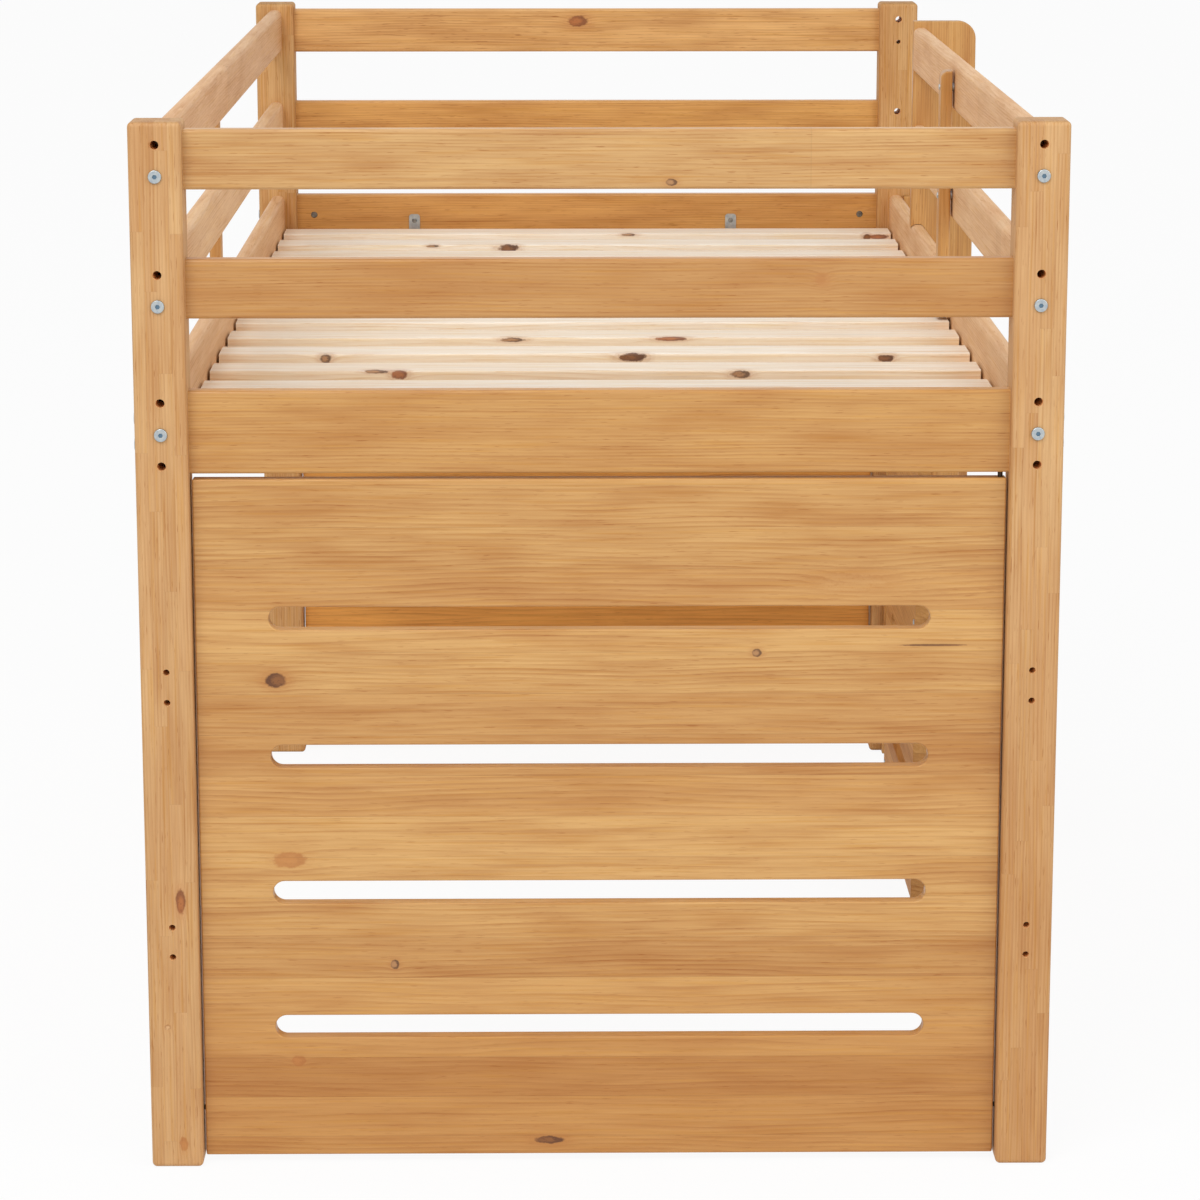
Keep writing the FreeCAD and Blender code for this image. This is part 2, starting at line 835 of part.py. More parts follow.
def upright_bolts():
    bolts = []
    for height in guard_bolt_heights:
        seat = Vector(post_middle, upright_back, height)
        bolts.append(bolt(seat, along_y * -1, upright_thickness + bolt_reach))
    for height in upright_bolt_heights:
        seat = Vector(post_middle, upright_back, height)
        bolts.append(bolt(seat, along_y * -1, upright_thickness + leg_bolt_reach))
    return group(bolts)


def upright_nuts():
    nuts = []
    for height in guard_bolt_heights:
        middle = Vector(post_middle, upright_front - nut_from_end, height)
        nuts.append(barrel_nut(middle, along_x * -1, along_y))
    for height in upright_bolt_heights:
        middle = Vector(post_middle, ladder_leg_middle, height)
        nuts.append(barrel_nut(middle, along_x * -1, along_y))
    return group(nuts)


# Every node by name
nodes = {}
for end, end_name in ((near, "near"), (far, "far")):
    for side, side_name in ((left, "left"), (right, "right")):
        nodes[f"post_{end_name}_{side_name}"] = post(end, side)
    nodes[f"end_upper_rail_{end_name}"] = end_guard_rail(end, upper_rail_middle)
    nodes[f"end_middle_rail_{end_name}"] = end_guard_rail(end, middle_rail_middle)
    nodes[f"end_main_rail_{end_name}"] = end_main_rail(end)
    nodes[f"end_panel_{end_name}"] = end_panel(end)
for side, side_name in ((left, "left"), (right, "right")):
    nodes[f"side_upper_rail_{side_name}"] = side_guard_rail(side, upper_rail_middle)
    nodes[f"side_middle_rail_{side_name}"] = side_guard_rail(side, middle_rail_middle)
    nodes[f"side_main_rail_{side_name}"] = side_main_rail(side)
    nodes[f"slat_ledger_{side_name}"] = slat_ledger(side)
for number in range(slat_count):
    nodes[f"slat_{number + 1:02d}"] = slat(number)
nodes["guard_batten_right"] = guard_batten_right()
nodes["guard_batten_left"] = guard_batten_left()
nodes["centre_leg"] = leg(centre_leg_middle)
nodes["ladder_leg"] = ladder_leg()
nodes["side_panel"] = side_panel()
nodes["ladder_upright"] = ladder_upright()
nodes["ladder_far_stile"] = ladder_far_stile()
for number, top in enumerate(tread_tops):
    nodes[f"ladder_tread_{number + 1}"] = ladder_tread(top)
nodes["slat_brackets"] = slat_brackets()
nodes["bracket_screws"] = bracket_screws()
nodes["side_rail_bolts"] = side_rail_bolts()
nodes["side_rail_barrel_nuts"] = side_rail_nuts()
nodes["end_rail_bolts"] = end_rail_bolts()
nodes["end_rail_barrel_nuts"] = end_rail_nuts()
nodes["end_rail_dowels"] = end_rail_dowels()
nodes["panel_pins"] = panel_pins()
nodes["upright_bolts"] = upright_bolts()
nodes["upright_barrel_nuts"] = upright_nuts()
nodes["leg_dowels"] = leg_dowels()
nodes["ledger_screws"] = ledger_screws()
nodes["panel_screws"] = panel_screws()
nodes["batten_screws"] = batten_screws()
nodes["batten_washers"] = batten_washers()
nodes["ladder_screws"] = ladder_screws()

# The ladder reaches out on the right and the bolt heads on the left, so the middle of both lies off centre
left_reach = post_outer + bolt_head_height
origin_shift = (left_reach - ladder_outer) / 2

os.makedirs("parts", exist_ok=True)
for name, shape in nodes.items():
    shape.translate(Vector(origin_shift, 0, 0))
    shape.exportStep(f"parts/{name}.step")
    print(name, len(shape.Solids), shape.isValid(), round(shape.Volume))
print(len(nodes), "nodes")
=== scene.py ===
import math
import bpy
import numpy as np
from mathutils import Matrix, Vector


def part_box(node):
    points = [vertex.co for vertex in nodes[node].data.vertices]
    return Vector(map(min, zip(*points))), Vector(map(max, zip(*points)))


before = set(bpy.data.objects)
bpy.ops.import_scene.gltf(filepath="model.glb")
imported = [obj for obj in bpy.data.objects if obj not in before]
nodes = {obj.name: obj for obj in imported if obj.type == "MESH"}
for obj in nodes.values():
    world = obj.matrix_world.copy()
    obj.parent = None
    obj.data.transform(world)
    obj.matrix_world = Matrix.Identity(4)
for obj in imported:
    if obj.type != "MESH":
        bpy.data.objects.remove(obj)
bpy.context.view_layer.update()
millimetres = 1000.0  # in a metre
print("frame:", len(nodes), "nodes")


# sRGB out of 255 to the linear colour that a shader takes, by the sRGB curve's own numbers
def linear(colour):
    share = np.array(colour, float) / 255
    dark = share / 12.92
    light = ((share + 0.055) / 1.055) ** 2.4
    return tuple(float(v) for v in np.where(share < 0.04045, dark, light)) + (1.0,)


def plug(socket, value):
    if isinstance(value, Wire):
        value.tree.links.new(value.socket, socket)
    else:
        socket.default_value = value


# One output socket of a node tree; arithmetic on it adds Math nodes
class Wire:
    def __init__(self, tree, socket=None):
        self.tree = tree
        self.socket = socket

    def node(self, kind, settings=None, inputs=None, output=0):
        made = self.tree.nodes.new("ShaderNode" + kind)
        for key, value in (settings or {}).items():
            setattr(made, key, value)
        for key, value in (inputs or {}).items():
            plug(made.inputs[key], value)
        return Wire(self.tree, made.outputs[output] if len(made.outputs) else None)

    def out(self, name):
        return Wire(self.tree, self.socket.node.outputs[name])

    def math(self, operation, *terms):
        return self.node("Math", {"operation": operation}, dict(enumerate(terms)))

    def __add__(self, other):
        return self.math("ADD", self, other)

    def __radd__(self, other):
        return self.math("ADD", other, self)

    def __sub__(self, other):
        return self.math("SUBTRACT", self, other)

    def __rsub__(self, other):
        return self.math("SUBTRACT", other, self)

    def __mul__(self, other):
        return self.math("MULTIPLY", self, other)

    def __rmul__(self, other):
        return self.math("MULTIPLY", other, self)

    def __truediv__(self, other):
        return self.math("DIVIDE", self, other)

    def __rtruediv__(self, other):
        return self.math("DIVIDE", other, self)

    def __pow__(self, other):
        return self.math("POWER", self, other)

    def __abs__(self):
        return self.math("ABSOLUTE", self)

    def floor(self):
        return self.math("FLOOR", self)

    def fract(self):
        return self.math("FRACT", self)

    def larger(self, other):
        return self.math("MAXIMUM", self, other)

    # 0 below low, 1 above high, smooth between
    def rise(self, low, high):
        ends = {0: self, 1: low, 2: high, 3: 0.0, 4: 1.0}
        return self.node("MapRange", {"interpolation_type": "SMOOTHSTEP"}, ends)

    def vector(self, x, y, z):
        return self.node("CombineXYZ", None, {0: x, 1: y, 2: z})

    # Smooth noise about zero, at most about half each way
    def noise(self, x, y, z, detail=2.0):
        inputs = {"Vector": self.vector(x, y, z), "Scale": 1.0, "Detail": detail}
        return self.node("TexNoise", None, inputs) - 0.5

    # Three unrelated numbers from 0 to 1 for each whole-number place
    def chances(self, x, y, z):
        place = {"Vector": self.vector(x, y, z)}
        found = self.node("TexWhiteNoise", {"noise_dimensions": "3D"}, place, "Color")
        split = self.node("SeparateColor", None, {0: found})
        return split.out("Red"), split.out("Green"), split.out("Blue")

    def mix(self, share, first, second):
        return self.node("Mix", {"data_type": "RGBA"}, {0: share, 6: first, 7: second}, 2)

    def scaled(self, colour, amount):
        return self.node("VectorMath", {"operation": "SCALE"}, {0: colour, 3: amount})


# The value that lies this share of the way from least to most
def between(least, most, share):
    return least + share * (most - least)


def newMaterial(name):
    material = bpy.data.materials.new(name)
    material.use_nodes = True
    material.node_tree.nodes.clear()
    return material, Wire(material.node_tree)


def closeMaterial(start, shader):
    start.node("OutputMaterial", None, {"Surface": shader})


def wear(name, material):
    piece = nodes[name]
    if not piece.material_slots:
        piece.data.materials.append(material)
    for slot in piece.material_slots:
        slot.material = material


# Lengths in wood looks are millimetres; colours are sRGB out of 255
honeyPine = {
    "pale": (218, 171, 104),
    "late": (158, 92, 26),
    "blush": (211, 160, 94),
    "heart": (194, 132, 62),
    "amber": (206, 146, 58),
    "amberShare": 0.55,
    "grainShare": 0.22,
    "ringPitch": 3.8,
    "ringDepth": 0.60,
    "pithSide": 130.0,
    "pithDepth": 60.0,
    "sway": 12.0,
    "ripple": 2.4,
    "lean": 0.02,
    "fibre": 0.42,
    "streak": 0.80,
    "cloud": 0.60,
    "patch": 0.50,
    "dashes": 0.45,
    "tint": 0.16,
    "roughness": 0.42,
    "coat": 0.1,
    "coatRoughness": 0.24,
    "ior": 1.5,
    "specular": 0.5,
    "bump": 0.12,
    "endDark": 0.16,
}
# Noises in the wood: scale along the grain and across it, for each millimetre, and detail
woodNoises = {
    "sway": (0.0026, 0.012, 1.0),
    "ripple": (0.011, 0.05, 2.0),
    "fade": (0.007, 0.06, 1.0),
    "lively": (0.0035, 0.035, 1.0),
    "streak": (0.006, 0.26, 3.0),
    "fibre": (0.02, 0.7, 3.0),
    "dash": (0.045, 0.8, 1.0),
    "cloud": (0.0065, 0.04, 2.0),
    "hue": (0.008, 0.30, 2.0),
    "stain": (0.004, 0.12, 2.0),
    "mottle": (0.30, 0.45, 3.0),
}
# Where a noise or a face's turn starts to count, and where it counts in full
woodRises = {
    "fade": (-0.2, 0.25),
    "lively": (-0.12, 0.16),
    "dash": (0.15, 0.25),
    "heart": (-0.08, 0.42),
    "amber": (-0.05, 0.3),
    "stain": (0.08, 0.3),
    "ringEnd": (0.8, 1.0),
    "front": (0.5, 0.9),
    "end": (0.6, 0.95),
    "seamLine": (0.2, 0.9),
    "seamStep": (-0.5, 0.5),
    "boreTurn": (0.2, 0.6),
    "boreSide": (7.0, 9.0),
    "boreEnd": (3.0, 6.0),
}
woodShape = {
    "glueWidth": 0.9,
    "fingerWidth": 0.8,
    "driftSpan": 3000.0,  # so that no two staves show the same stretch of grain
    "pithSide": (0.35, 1.25),  # least and most, as a share of the look's own
    "pithDepth": (0.2, 1.2),
    "ringPower": 1.6,
    "ringLeast": 0.3,
    "fadeLeast": 0.35,
    "lively": (0.35, 1.10),
    "lengthSeed": 0.5,
    "ringSeed": 3.5,
    "ringPlace": 0.5,
    "bumpDepth": 0.0006,
    "rough": {"fibre": 0.16, "late": 0.06, "dash": 0.05},
    "height": {"fibre": 0.7, "late": 0.5, "dash": 0.5, "glue": 1.5},
}
knotLooks = {
    "dark": {"core": (132, 80, 36), "rim": (84, 42, 14), "halo": (176, 108, 46), "hold": 0.92},
    "ring": {"core": (176, 128, 84), "rim": (74, 40, 18), "halo": (182, 118, 62), "hold": 0.85},
    "red": {"core": (172, 98, 46), "rim": (118, 58, 24), "halo": (186, 118, 60), "hold": 0.85},
    "smear": {"core": (188, 116, 52), "rim": (172, 100, 40), "halo": (190, 130, 66), "hold": 0.60},
    "pitch": {"core": (226, 184, 136), "rim": (160, 104, 56), "halo": (205, 150, 90), "hold": 0.60},
    "swirl": {"core": (224, 180, 122), "rim": (196, 138, 76), "halo": (200, 144, 82), "hold": 0.22},
    "shade": {"core": (180, 112, 56), "rim": (190, 130, 72), "halo": (192, 132, 74), "hold": 0.40},
    "split": {"core": (92, 52, 22), "rim": (120, 72, 34), "halo": (190, 136, 76), "hold": 0.80},
}


knotShape = {
    "wobble": 0.5,
    "wobbleScale": 0.11,
    "wobbleStep": 0.37,  # keeps the outlines of two knots apart
    "heavy": 0.4,  # how much darker one end of a knot is
    "swellFall": 0.35,
    "swellShare": 0.9,  # the grain bends out by this share of the knot's height
    "halo": (0.8, 2.4),
    "haloShare": 0.5,
    "haloLeast": 0.6,
    "haloRings": 2.6,
    "core": (0.15, 0.95),
    "coreRings": 3.3,
    "coreRingShare": 0.2,
    "dark": (0.0, 0.25),
    "darkShare": 0.7,
    "light": (-0.3, -0.05),
    "lightShare": 0.2,
    "ragged": 0.4,
    "edge": (0.82, 1.12),
}


# Noise drawn out along the grain, by its name in woodNoises
def grainNoise(start, name, along, wide, deep):
    run, side, detail = woodNoises[name]
    return start.noise(along * run, wide * side, deep * side, detail)


# Distance from a knot's middle over its size, wobbling a little, the part of it along the grain, and mottling
def knotReach(start, along, wide, deep, knot):
    run = (along - knot["at"][0]) / knot["size"][0]
    side = (wide - knot["at"][1]) / knot["size"][1]
    squares = run * run + side * side
    if len(knot["at"]) > 2:
        into = (deep - knot["at"][2]) / knot["size"][2]
        squares = squares + into * into
    scale, step = knotShape["wobbleScale"], knot["at"][0] * knotShape["wobbleStep"]
    wobble = start.noise(along * scale, wide * scale, deep * scale + step)
    mottle = grainNoise(start, "mottle", along, wide, deep)
    return squares ** 0.5 + wobble * knot.get("wobble", knotShape["wobble"]), run, mottle


# The wood's tone with one knot drawn over it: a ringed halo, then a mottled core with a ragged edge
def knotTone(start, tone, knot, reach, run, mottle):
    kind = knotLooks[knot["kind"]]
    rings = between(knotShape["haloLeast"], 1.0, (reach * knotShape["haloRings"]).fract())
    halo = (1 - reach.rise(*knotShape["halo"])) * rings
    tone = start.mix(halo * knotShape["haloShare"] * kind["hold"], tone, linear(kind["halo"]))
    shade = (reach + run * knot.get("heavy", knotShape["heavy"])).rise(*knotShape["core"])
    shade = shade + (reach * knotShape["coreRings"]).fract() * knotShape["coreRingShare"]
    shade = shade + mottle.rise(*knotShape["dark"]) * knotShape["darkShare"]
    shade = shade - mottle.rise(*knotShape["light"]) * knotShape["lightShare"]
    inside = start.mix(shade, linear(kind["core"]), linear(kind["rim"]))
    edge = (reach + mottle * knotShape["ragged"]).rise(*knotShape["edge"])
    return start.mix((1 - edge) * kind["hold"], tone, inside)


def woodSurface(start, look, low, high):
    rng = np.random.default_rng(look["seed"])
    seed = float(look["seed"])
    place = start.node("TexCoord", None, None, "Object")
    split = start.node("SeparateXYZ", None, {0: place})
    measures = {letter: split.out(letter.upper()) * millimetres for letter in "xyz"}
    along, wide, deep = (measures[letter] for letter in look["axes"])
    middles = {letter: (low[turn] + high[turn]) / 2 * millimetres for turn, letter in enumerate("xyz")}
    wideMiddle, deepMiddle = middles[look["axes"][1]], middles[look["axes"][2]]
    knots = look.get("knots", [])
    glue = 0.0

    # A glued board is a row of staves, and a stave a run of shorter lengths
    if "stavePitch" in look:
        position = (wide - look["staveStart"]) / look["stavePitch"]
        stave = position.floor()
        within = (position - stave - 0.5) * look["stavePitch"]
        length = 0.0
        edge = look["stavePitch"] / 2
        glue = abs(within).rise(edge - woodShape["glueWidth"], edge) * look["glueLine"]
        if "lengthRun" in look:
            run = along / look["lengthRun"] + start.chances(stave, 0.0, seed + woodShape["lengthSeed"])[0]
            length = run.floor()
            joint = abs(run - length - 0.5).rise(0.5 - woodShape["fingerWidth"] / look["lengthRun"], 0.5)
            glue = glue.larger(joint * look["glueLine"])
        chanceA, chanceB, chanceC = start.chances(stave, length, seed)
    else:
        within = wide - wideMiddle
        chanceA, chanceB, chanceC = (float(v) for v in rng.random(3))
    depth = deep - deepMiddle
    drift = along + chanceC * woodShape["driftSpan"]

    # Growth rings about a pith that lies to one side and leans along the board
    sway = grainNoise(start, "sway", drift, within, depth) * look["sway"]
    ripple = grainNoise(start, "ripple", drift, within, depth) * look["ripple"]
    side = within + between(*woodShape["pithSide"], chanceA) * look["pithSide"]
    behind = depth + between(*woodShape["pithDepth"], chanceB) * look["pithDepth"]
    behind = behind + (chanceC - 0.5) * look["lean"] * along
    distance = (side * side + behind * behind) ** 0.5 + sway + ripple
    reaches = [knotReach(start, along, wide, deep, knot) for knot in knots]
    for knot, (reach, run, mottle) in zip(knots, reaches):
        swell = reach * reach * knotShape["swellFall"] + 1.0
        distance = distance + knot["size"][1] * knotShape["swellShare"] / (swell * swell)
    phase = distance / look["ringPitch"]
    ring = phase.floor()
    turn = phase - ring
    ringTone = start.chances(ring, woodShape["ringPlace"], seed + woodShape["ringSeed"])[0]
    fade = grainNoise(start, "fade", drift, within, depth).rise(*woodRises["fade"])
    late = turn ** woodShape["ringPower"] * (1 - turn.rise(*woodRises["ringEnd"]))
    late = late * between(woodShape["ringLeast"], 1.0, ringTone) * between(woodShape["fadeLeast"], 1.0, fade)

    # Long streaks, fine fibres, short resin dashes and slow clouds of tone
    lively = grainNoise(start, "lively", drift, within, depth).rise(*woodRises["lively"])
    streak = grainNoise(start, "streak", drift, within, depth) * between(*woodShape["lively"], lively)
    fibre = grainNoise(start, "fibre", drift, wide, deep)
    dash = grainNoise(start, "dash", drift, wide, deep).rise(*woodRises["dash"])
    cloud = grainNoise(start, "cloud", drift, within, depth)

    # From the pale tone to the heartwood's, the amber and the late wood's
    tone = start.mix(chanceB, linear(look["pale"]), linear(look["blush"]))
    tone = start.mix(cloud.rise(*woodRises["heart"]) * look["patch"], tone, linear(look["heart"]))
    # Darker towards the bottom, below the given heights
    if "darkerBelow" in look:
        bottom, top, most = look["darkerBelow"]
        tone = start.mix((1 - measures["z"].rise(bottom, top)) * most, tone, linear(look["heart"]))
    hue = grainNoise(start, "hue", drift, wide, deep)
    tone = start.mix(hue.rise(*woodRises["amber"]) * look["amberShare"], tone, linear(look["amber"]))
    grain = look["grainShare"] + fibre * look["fibre"] + streak * look["streak"] + cloud * look["cloud"]
    grain = grain + late * look["ringDepth"] + dash * look["dashes"] + (chanceA - 0.5) * look["tint"]
    tone = start.mix(grain, tone, linear(look["late"]))
    bright = 1 - glue
    for seam in look.get("seams", []):
        past = along - seam["at"]
        bright = bright * (1 - (1 - abs(past).rise(*woodRises["seamLine"])) * seam["depth"])
        bright = bright * (1 + past.rise(*woodRises["seamStep"]) * seam["step"])
    if "stain" in look:
        stain = grainNoise(start, "stain", drift, wide, deep).rise(*woodRises["stain"])
        tone = start.mix(stain * look["stain"], tone, linear(look["stainColour"]))

    # A face that looks to the near end may have a tone of its own, painted shade: warm and deep on the far
    # panel's inner face, yellower on the slats' front edges than on their lit tops
    facing = start.node("SeparateXYZ", None, {0: start.node("NewGeometry", None, None, "Normal")})
    if "shadedFrontTone" in look:
        front = (facing.out("Y") * -1.0).rise(*woodRises["front"]) * look["shadedFrontShare"]
        tone = start.mix(front, tone, start.mix(grain, linear(look["shadedFrontTone"]), linear(look["late"])))

    # Walls of the holes down a post's middle line, away from its two ends, painted lighter as painted light
    # inside the holes
    if "boreLightTone" in look:
        turn = "xyz".index(look["axes"][0])
        litBore = 1 - abs(facing.out("Y")).rise(*woodRises["boreTurn"])
        litBore = litBore * (1 - abs(wide - wideMiddle).rise(*woodRises["boreSide"]))
        litBore = litBore * (along - low[turn] * millimetres).rise(*woodRises["boreEnd"])
        litBore = litBore * (high[turn] * millimetres - along).rise(*woodRises["boreEnd"])
        tone = start.mix(litBore, tone, linear(look["boreLightTone"]))
    for knot, (reach, run, mottle) in zip(knots, reaches):
        tone = knotTone(start, tone, knot, reach, run, mottle)

    # End grain soaks up more finish, so it is darker
    ends = abs(facing.out(look["axes"][0].upper())).rise(*woodRises["end"])
    colour = start.scaled(tone, bright * (1 - ends * look["endDark"]))
    share = woodShape["rough"]
    rough = look["roughness"] + fibre * share["fibre"] + late * share["late"] + dash * share["dash"]
    share = woodShape["height"]
    height = fibre * share["fibre"] + late * share["late"] - dash * share["dash"] - glue * share["glue"]
    return colour, rough, height


def woodMaterial(name, look):
    low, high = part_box(name)
    material, start = newMaterial(name + "_wood")
    colour, rough, height = woodSurface(start, look, low, high)
    bump = start.node("Bump", None, {
        "Strength": look["bump"], "Distance": woodShape["bumpDepth"], "Height": height})
    shader = start.node("BsdfPrincipled", None, {
        "Base Color": colour, "Roughness": rough, "Normal": bump, "IOR": look["ior"],
        "Coat Weight": look["coat"], "Coat Roughness": look["coatRoughness"],
        "Specular IOR Level": look["specular"],
    })
    closeMaterial(start, shader)
    return material


def dressWood(names, look, seed):
    for turn, name in enumerate(names):
        wear(name, woodMaterial(name, {**look, "seed": seed + turn}))


# The bed's own middle lies this far from the frame's origin across the bed
middle = (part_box("post_near_left")[0].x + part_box("post_near_right")[1].x) / 2 * millimetres

# Slotted panels: edge-glued staves that run across
panelLook = {
    **honeyPine,
    "axes": "xzy",
    "pale": (221, 174, 108),
    "blush": (214, 163, 98),
    "stavePitch": 50.5,
    "staveStart": 32.5,
    "glueLine": 0.12,
    "ringPitch": 6.0,
    "grainShare": 0.24,
    "ringDepth": 0.58,
    "sway": 26.0,
    "fibre": 0.36,
    "streak": 0.50,
    "cloud": 0.50,
    "dashes": 0.30,
    "tint": 0.32,
}
mattPanelLook = {**panelLook, "coat": 0.0, "roughness": 0.6}
nearPanelKnots = [
    {"kind": "dark", "at": (middle - 385, 605), "size": (12, 9), "heavy": -0.5},
    {"kind": "split", "at": (middle + 397, 646), "size": (42, 1.4), "wobble": 0.2},
    {"kind": "ring", "at": (middle + 187, 637), "size": (6, 5)},
    {"kind": "ring", "at": (middle - 247, 251), "size": (5, 6)},
    {"kind": "dark", "at": (middle - 61, 27), "size": (17, 5)},
    {"kind": "smear", "at": (middle - 372, 383), "size": (20, 10)},
    {"kind": "smear", "at": (middle - 365, 129), "size": (9, 7)},
    {"kind": "swirl", "at": (middle + 310, 722), "size": (55, 14)},
]
nearPanelLook = {**panelLook, "knots": nearPanelKnots, "darkerBelow": (80.0, 370.0, 0.6)}
# The far panel's inner face is painted a deep orange, as painted shade with warm bounce light
farPanelShadedLook = {**mattPanelLook, "shadedFrontTone": (255, 174, 68), "shadedFrontShare": 0.65, "grainShare": 0.14}
sidePanelLook = {**mattPanelLook, "axes": "yzx", "pale": (224, 172, 102), "blush": (217, 161, 92)}
dressWood(["end_panel_near"], nearPanelLook, seed=14)
dressWood(["end_panel_far"], farPanelShadedLook, seed=12)
dressWood(["side_panel"], sidePanelLook, seed=13)
print("panels dressed")

# Posts: four strips side by side, each finger-jointed along its length
postLook = {
    **honeyPine,
    "axes": "zxy",
    "pale": (222, 180, 126),
    "blush": (217, 171, 118),
    "heart": (200, 145, 88),
    "stavePitch": 15.5,
    "glueLine": 0.05,
    "lengthRun": 260.0,
    # Hole walls are painted lighter, as painted light
    "boreLightTone": (252, 200, 140),
    "tint": 0.12,
    "fibre": 0.34,
    "streak": 0.45,
    "roughness": 0.60,
    "coat": 0.0,
}
postKnots = {
    "post_near_left": [
        {"kind": "red", "at": (337, middle - 502), "size": (15, 6)},
        {"kind": "pitch", "at": (179, middle - 521), "size": (4, 4)},
        {"kind": "smear", "at": (30, middle - 505), "size": (9, 5)},
    ],
}
# Bottom, top and share of the darkening towards the bottom of a post
postDarkerBelow = {"post_near_right": (200.0, 900.0, 0.5), "post_near_left": (900.0, 1200.0, 0.1)}
farPostSpecular = 0.1
for turn, name in enumerate(["post_near_left", "post_near_right", "post_far_left", "post_far_right"]):
    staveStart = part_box(name)[0].x * millimetres
    look = {**postLook, "staveStart": staveStart, "knots": postKnots.get(name, [])}
    if name in postDarkerBelow:
        look["darkerBelow"] = postDarkerBelow[name]
    if "far" in name:
        look["specular"] = farPostSpecular
    dressWood([name], look, seed=21 + turn)
print("posts dressed")

# Rails across the ends
endRailLook = {**honeyPine, "axes": "xzy", "lean": 0.012, "streak": 0.6}
upperEndLook = {**endRailLook, "pale": (222, 180, 120), "blush": (218, 173, 113), "heart": (204, 150, 86)}
nearUpperLook = {
    **upperEndLook,
    "knots": [{"kind": "ring", "at": (middle + 83, 1198), "size": (7, 4)}],
    "seams": [{"at": middle + 245, "depth": 0.08, "step": 0.015}],
}
farUpperLook = {
    **upperEndLook,
    "pale": (234, 186, 120),
    "blush": (230, 178, 112),
    "knots": [{"kind": "red", "at": (middle - 15, 1240), "size": (16, 9)}],
}
nearMiddleLook = {
    **endRailLook,
    "pale": (206, 157, 96),
    "blush": (200, 148, 88),
    "knots": [{"kind": "shade", "at": (middle + 260, 1084), "size": (10, 9)}],
}
nearMainLook = {**endRailLook, "pale": (213, 164, 98), "blush": (207, 155, 90)}
farRailLook = {**endRailLook, "pale": (226, 172, 98), "blush": (220, 162, 90)}
dressWood(["end_upper_rail_near"], nearUpperLook, seed=31)
dressWood(["end_upper_rail_far"], farUpperLook, seed=32)
dressWood(["end_middle_rail_near"], nearMiddleLook, seed=33)
dressWood(["end_main_rail_near"], nearMainLook, seed=35)
dressWood(["end_middle_rail_far", "end_main_rail_far"], farRailLook, seed=36)
print("end rails dressed")

# Rails and ledgers along the sides, painted paler and peach as painted sheen from grazing light
paintedSheenSideRailLook = {
    **honeyPine,
    "axes": "yzx",
    "pale": (240, 203, 158),
    "late": (190, 128, 70),
    "blush": (236, 192, 146),
    "heart": (220, 168, 114),
    "amber": (230, 182, 112),
    "lean": 0.012,
    "streak": 0.6,
    "roughness": 0.58,
    "coat": 0.0,
}
# Finger joints seen across three of them
sideSeams = {
    "side_upper_rail_left": [{"at": -110.0, "depth": 0.35, "step": -0.05}],
    "side_upper_rail_right": [{"at": -384.0, "depth": 0.18, "step": 0.04}],
    "side_middle_rail_right": [
        {"at": -674.0, "depth": 0.20, "step": -0.04},
        {"at": -624.0, "depth": 0.20, "step": 0.03},
    ],
}
for turn, (name, seams) in enumerate(sideSeams.items()):
    dressWood([name], {**paintedSheenSideRailLook, "seams": seams}, seed=41 + turn)
dressWood(["side_middle_rail_left", "side_main_rail_left", "side_main_rail_right"], paintedSheenSideRailLook, seed=44)
dressWood(["slat_ledger_left", "slat_ledger_right"], paintedSheenSideRailLook, seed=48)
print("side rails dressed")

# Ladder, legs and battens
uprightLook = {**honeyPine, "axes": "zxy", "pithSide": 60.0, "lean": 0.05}
treadLook = {**honeyPine, "axes": "yxz"}
legLook = {**honeyPine, "axes": "zxy", "lean": 0.01}
battenLook = {**honeyPine, "axes": "zyx", "lean": 0.01}
dressWood(["ladder_upright", "ladder_far_stile"], uprightLook, seed=51)
dressWood(["ladder_tread_1", "ladder_tread_2", "ladder_tread_3"], treadLook, seed=54)
dressWood(["centre_leg", "ladder_leg"], legLook, seed=58)
dressWood(["guard_batten_right", "guard_batten_left"], battenLook, seed=61)
print("ladder, legs and battens dressed")

# Slats: bare pale softwood with strong rings and grey streaks
slatLook = {
    **honeyPine,
    "axes": "xyz",
    "pale": (255, 248, 236),
    "late": (212, 162, 92),
    "blush": (254, 245, 231),
    "heart": (248, 231, 206),
    "grainShare": 0.08,
    "ringPitch": 5.0,
    "ringDepth": 0.70,
    "pithSide": 40.0,
    "pithDepth": 40.0,
    "sway": 20.0,
    "lean": 0.03,
    "dashes": 0.25,
    "fibre": 0.40,
    "streak": 0.70,
    "cloud": 0.20,
    "tint": 0.08,
    "amber": (248, 222, 164),
    "stain": 0.45,
    "stainColour": (204, 196, 184),
    # The front edges are painted yellower than the tops, as painted shade under light from above
    "shadedFrontTone": (250, 222, 170),
    "shadedFrontShare": 0.40,
    "roughness": 0.66,
    "coat": 0.0,
    "bump": 0.16,
    "endDark": 0.10,
}
# Slats from the seventh back take less late wood and a weaker front tone, painted paler as painted light
# where the rails shade them
paintedLightBackSlatLook = {**slatLook, "grainShare": 0.02, "shadedFrontShare": 0.25}
slatCount, firstBackSlat, slatSeed = 14, 7, 70
slatKnotDepth, slatKnotWobble = 11.0, 0.9
